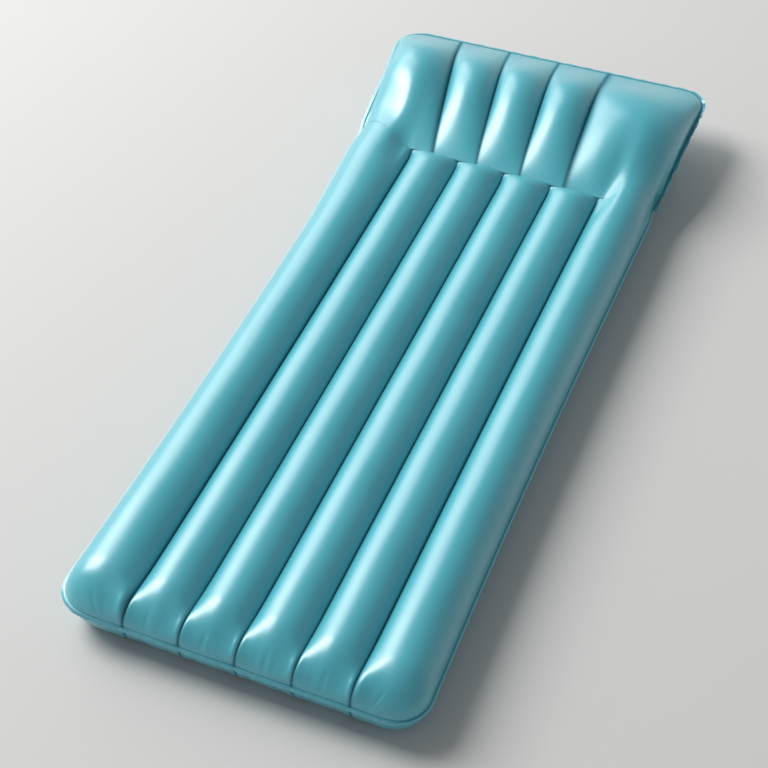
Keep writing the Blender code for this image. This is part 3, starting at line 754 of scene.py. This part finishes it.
def pillow_row(along, up):
    """The pillow's upper or lower half, along metres from the partition."""
    arch = quarter_wave(along, PILLOW_ARCH_LENGTH)
    gentle = smooth(along / PILLOW_FRONT_LENGTH)
    head = quarter_wave(PILLOW_LENGTH - along, PILLOW_END_LENGTH)
    crown = quarter_wave(PILLOW_LENGTH - along, PILLOW_CROWN_END)
    shoulder = (1 - PILLOW_SHOULDER_SHARE) * arch + PILLOW_SHOULDER_SHARE * ease(along, PILLOW_SHOULDER)
    swell = 1 + PILLOW_SWELL * math.sin(math.pi * along / PILLOW_LENGTH) * (up > 0)
    sink = pillow_rise(along) * (1 - gentle) / BED_SIDE_HEIGHT * (up > 0)
    low_taper, taper = [1 - PILLOW_TAPER * smooth((along - start) / (PILLOW_LENGTH - start))
                        for start in (PILLOW_BACK_START, PILLOW_CROWN_BACK_START)]
    room = PILLOW_RIB_ROOM * math.sqrt(max(math.sin(math.pi * along / PILLOW_LENGTH), 0.0))
    ribs = pillow_ribs(along / PILLOW_LENGTH)
    row = []
    for x, z, cell, across in cell_points(seams(BED_LENGTH + along), ribs, PILLOW_RIB_TOP,
                                          PILLOW_SIDE_HEIGHT):
        beyond = abs(x) - abs(ribs[0 if x < 0 else -1])
        side = smooth((beyond - PILLOW_SADDLE_START) / PILLOW_SADDLE_RAMP)
        low = min(z, PILLOW_RIB_TOP)
        base = low * head * low_taper + room * low / PILLOW_RIB_TOP
        over = (z - low) * crown * taper
        front = arch + (gentle - arch) * side
        rise = shoulder * swell if 0 < cell <= PILLOW_INNER_CELLS else front
        start = crease(x) * (1 - sink * side)
        z = start + (base - start) * front + over * rise
        row.append((x, z, cell, across))
    return row


def pillow_place(x, along, z):
    """The place in the scene of a point of the pillow, whose head seam is turned a little."""
    share = 1 - smooth(along / PILLOW_FRONT_LENGTH)
    rise = pillow_rise(along)
    skew = HEAD_SKEW * x * (along / PILLOW_LENGTH) ** 2
    return Vector((x + MIDDLE_X, FOOT_Y + BED_LENGTH + along + bow(x) * share + skew,
                   SEAM_Z + rise + z))


def pillow_pleats(along, cell, across):
    """Spare film at the head seam."""
    left = PILLOW_LENGTH - along
    return gather(HEAD_GATHER, across, cell, left) + pleat(HEAD_PLEAT, across, left)


PILLOW_ROWS = rounded_rows(PILLOW_FRONT_LENGTH, PILLOW_FRONT_STEPS)
PILLOW_ROWS += rows_between(PILLOW_FRONT_LENGTH, PILLOW_LENGTH - PILLOW_END_LENGTH, PILLOW_CROWN_STEPS)
PILLOW_ROWS += [PILLOW_LENGTH - d for d in reversed(rounded_rows(PILLOW_END_LENGTH, PILLOW_END_STEPS))]
PILLOW_TILTS = (-20, -15, 25)
PILLOW_BUCKLES = ((PILLOW_LENGTH + 0.35, 0.30, 0.0008, 0.045),
                  (PILLOW_LENGTH + 0.68, 0.06, 0.0060, 0.034),
                  (PILLOW_LENGTH + 0.92, 0.16, 0.0040, 0.065))


def pillow_grid(up):
    """Points of the pillow's upper or lower film, and how much shade is painted along its welding lines
    at each of them.
    """
    points = []
    facts = []
    for along in PILLOW_ROWS:
        line = []
        row = pillow_row(along, up)
        for x, z, cell, across in row:
            point = pillow_place(x, along, up * (WELD_GAP / 2 + max(z, 0.0)))
            if along == 0:
                point.y += clearance(x)
            point.z = max(point.z, FILM)
            line.append(point)
        points.append(line)
        facts.append([(along, cell, across) for x, z, cell, across in row])
    normals = normals_of(points)
    for line, fact, normal in zip(points, facts, normals):
        for i in range(1, len(line) - 1):
            along, cell, across = fact[i]
            hold = cell_middle(across) * ease(along, PILLOW_HOLD_LENGTH)
            hold *= ease(PILLOW_LENGTH - along, HEAD_HOLD_LENGTH)
            move = (pillow_pleats(along, cell, across) + unevenness(line[i].x, line[i].y)) * hold
            if up > 0 or line[i].z > GROUND_REACH:
                line[i] = line[i] + normal[i] * (move * up)
    facts = [[(along + saddle_share(point.x - MIDDLE_X), cell, across, PILLOW_WELD_SHADE_WIDTH)
              for (along, cell, across), point in zip(fact, line)] for fact, line in zip(facts, points)]
    return points[::-1], weld_shade_lines(facts[::-1], PILLOW_INNER_CELLS + 1)


points, weld_shades = pillow_grid(1)
pillow_top = film_mesh("pillow_top_film", points, weld_shades, -1, PILLOW_TILTS, PILLOW_BUCKLES, 1,
                       PILLOW_SEAM_SHADE)
pillow_top_vinyl = film_material("pillow_top_vinyl", SHEET_GLOSS, SHEET_CREASE)
finish_film(pillow_top, pillow_top_vinyl, "pillow_top_sheet")

points, weld_shades = pillow_grid(-1)
valve_flat(points, joints["pillow_stem_pull"])
pillow_bottom = film_mesh("pillow_bottom_film", points, weld_shades, -1, PILLOW_TILTS, PILLOW_BUCKLES,
                          -1, PILLOW_SEAM_SHADE)
pillow_bottom_vinyl = film_material("pillow_bottom_vinyl", SHEET_GLOSS, SHEET_CREASE)
finish_film(pillow_bottom, pillow_bottom_vinyl, "pillow_bottom_sheet")
valve_hole(pillow_bottom, joints["pillow_stem_pull"])


# The ribs and the partition
# Upright strips of the same film inside the chambers, welded to both sheets and a little duller
# than they are.  Round holes in the ribs let the air pass from cell to cell, and the partition has
# none, so that the bed and the pillow hold their air apart.

RIB_GLOSS = (0.40, 0.50)
RIB_CREASE = 0.35

rib_vinyl = film_material("rib_vinyl", RIB_GLOSS, RIB_CREASE)
for name in frame["nodes"]:
    if "_rib_" in name or name == "partition":
        for slot in bpy.data.objects[name].material_slots:
            slot.material = rib_vinyl


# The valves
# Soft pale vinyl, moulded: a welded base with a sleeve, a stem that pushes in, a plug on a strap
# and a thin flap against the air.  Handling has left them smudged and unevenly worn.

VALVE_PALE = (0.470, 0.690, 0.750, 1.0)
VALVE_WORN = (0.600, 0.740, 0.740, 1.0)
VALVE_GLOSS = (0.30, 0.48)
VALVE_STAIN_SCALE = 160.0
VALVE_STAIN_DETAIL = 4.0
VALVE_STAIN_RANGE = (0.3, 0.7)
VALVE_GRAIN_SCALE = 900.0
VALVE_GRAIN_DEPTH = 0.0002
VALVE_GRAIN_STRENGTH = 0.15
VALVE_TRANSLUCENCE = 0.15
VALVE_LIGHT_REACH = (0.002, 0.003, 0.003)

valve_vinyl = bpy.data.materials.new("valve_vinyl")
valve_vinyl.use_nodes = True
shader = valve_vinyl.node_tree.nodes['Principled BSDF']
shader.inputs['IOR'].default_value = VINYL_IOR
shader.inputs['Subsurface Weight'].default_value = VALVE_TRANSLUCENCE
shader.inputs['Subsurface Radius'].default_value = VALVE_LIGHT_REACH
link = valve_vinyl.node_tree.links.new
place = valve_vinyl.node_tree.nodes.new('ShaderNodeTexCoord')
stain = valve_vinyl.node_tree.nodes.new('ShaderNodeTexNoise')
stain.inputs['Scale'].default_value = VALVE_STAIN_SCALE
stain.inputs['Detail'].default_value = VALVE_STAIN_DETAIL
link(place.outputs['Object'], stain.inputs['Vector'])
tint = valve_vinyl.node_tree.nodes.new('ShaderNodeMix')
tint.data_type = 'RGBA'
tint.inputs['A'].default_value = VALVE_PALE
tint.inputs['B'].default_value = VALVE_WORN
link(stain.outputs['Fac'], tint.inputs['Factor'])
link(tint.outputs['Result'], shader.inputs['Base Color'])
sheen = valve_vinyl.node_tree.nodes.new('ShaderNodeMapRange')
sheen.inputs['From Min'].default_value = VALVE_STAIN_RANGE[0]
sheen.inputs['From Max'].default_value = VALVE_STAIN_RANGE[1]
sheen.inputs['To Min'].default_value = VALVE_GLOSS[0]
sheen.inputs['To Max'].default_value = VALVE_GLOSS[1]
link(stain.outputs['Fac'], sheen.inputs['Value'])
link(sheen.outputs['Result'], shader.inputs['Roughness'])
grain = valve_vinyl.node_tree.nodes.new('ShaderNodeTexNoise')
grain.inputs['Scale'].default_value = VALVE_GRAIN_SCALE
link(place.outputs['Object'], grain.inputs['Vector'])
bump = valve_vinyl.node_tree.nodes.new('ShaderNodeBump')
bump.inputs['Strength'].default_value = VALVE_GRAIN_STRENGTH
bump.inputs['Distance'].default_value = VALVE_GRAIN_DEPTH
link(grain.outputs['Fac'], bump.inputs['Height'])
link(bump.outputs['Normal'], shader.inputs['Normal'])
for name in frame["nodes"]:
    if "_valve_" in name:
        for slot in bpy.data.objects[name].material_slots:
            slot.material = valve_vinyl


# The floor
# The mattress lies on a plain pale floor.

FLOOR_SIZE = 40.0
FLOOR_COLOUR = (0.635, 0.635, 0.635, 1.0)
FLOOR_ROUGHNESS = 0.9
FLOOR_SPECULAR = 0.1

bpy.ops.mesh.primitive_plane_add(size=FLOOR_SIZE)
floor = bpy.context.object
floor.name = "floor"
floor_material = bpy.data.materials.new("floor_paper")
floor_material.use_nodes = True
floor_shader = floor_material.node_tree.nodes['Principled BSDF']
floor_shader.inputs['Base Color'].default_value = FLOOR_COLOUR
floor_shader.inputs['Roughness'].default_value = FLOOR_ROUGHNESS
floor_shader.inputs['Specular IOR Level'].default_value = FLOOR_SPECULAR
floor.data.materials.append(floor_material)


# The light
# A large soft box stands high at the left and a broad weak window behind it.  The walls of the
# room glow a little more than its ceiling, and the camera sees them white.

LAMP_COLOUR = (1.0, 0.985, 0.955)
ROOM_COLOUR = (0.94, 0.98, 1.0, 1.0)
WALL_GLOW = 0.58
CEILING_GLOW = 0.22
CEILING_START = 0.7


def soft_box(name, place, aim, size, power):
    """A rectangular lamp that shines from one place towards another."""
    bpy.ops.object.light_add(type='AREA', location=place)
    lamp = bpy.context.object
    lamp.name = name
    lamp.data.shape = 'RECTANGLE'
    lamp.data.size, lamp.data.size_y = size
    lamp.data.energy = power
    lamp.data.color = LAMP_COLOUR
    lamp.rotation_euler = (Vector(aim) - Vector(place)).to_track_quat('-Z', 'Y').to_euler()


soft_box("upper_box", (-6.5, 1.2, 5.9), (0.0, 0.0, 0.0), (5.0, 5.0), 795)
soft_box("window", (-8.1, 6.1, 5.9), (0.0, 0.0, 0.1), (9.5, 8.4), 615)

world = bpy.data.worlds.new("room")
bpy.context.scene.world = world
world.use_nodes = True
room_nodes = world.node_tree.nodes
room_link = world.node_tree.links.new
toward = room_nodes.new('ShaderNodeTexCoord')
parts = room_nodes.new('ShaderNodeSeparateXYZ')
room_link(toward.outputs['Generated'], parts.inputs['Vector'])
glow = room_nodes.new('ShaderNodeMapRange')
glow.interpolation_type = 'SMOOTHSTEP'
glow.inputs['From Min'].default_value = 0.0
glow.inputs['From Max'].default_value = CEILING_START
glow.inputs['To Min'].default_value = WALL_GLOW
glow.inputs['To Max'].default_value = CEILING_GLOW
room_link(parts.outputs['Z'], glow.inputs['Value'])
room_nodes['Background'].inputs['Color'].default_value = ROOM_COLOUR
ray = room_nodes.new('ShaderNodeLightPath')
seen = room_nodes.new('ShaderNodeMath')
seen.operation = 'MAXIMUM'
room_link(glow.outputs['Result'], seen.inputs[0])
room_link(ray.outputs['Is Camera Ray'], seen.inputs[1])
room_link(seen.outputs['Value'], room_nodes['Background'].inputs['Strength'])


# The camera
# It looks down on the mattress from the foot end, a little from the right.

CAMERA_AZIMUTH = math.radians(22.39)
CAMERA_ELEVATION = math.radians(46.84)
CAMERA_DISTANCE = 3.778
CAMERA_LENS = 87.6
SENSOR_WIDTH = 36.0
AIM_SIDEWAYS = -0.0156
AIM_FROM_FOOT = 0.7346
AIM = Vector((AIM_SIDEWAYS + MIDDLE_X, FOOT_Y + AIM_FROM_FOOT, SEAM_Z))

back = Vector((math.sin(CAMERA_AZIMUTH) * math.cos(CAMERA_ELEVATION),
               -math.cos(CAMERA_AZIMUTH) * math.cos(CAMERA_ELEVATION),
               math.sin(CAMERA_ELEVATION)))
bpy.ops.object.camera_add(location=AIM + back * CAMERA_DISTANCE)
camera = bpy.context.object
camera.rotation_euler = back.to_track_quat('Z', 'Y').to_euler()
camera.data.lens = CAMERA_LENS
camera.data.sensor_width = SENSOR_WIDTH
bpy.context.scene.camera = camera
bpy.context.scene.view_settings.view_transform = 'Standard'
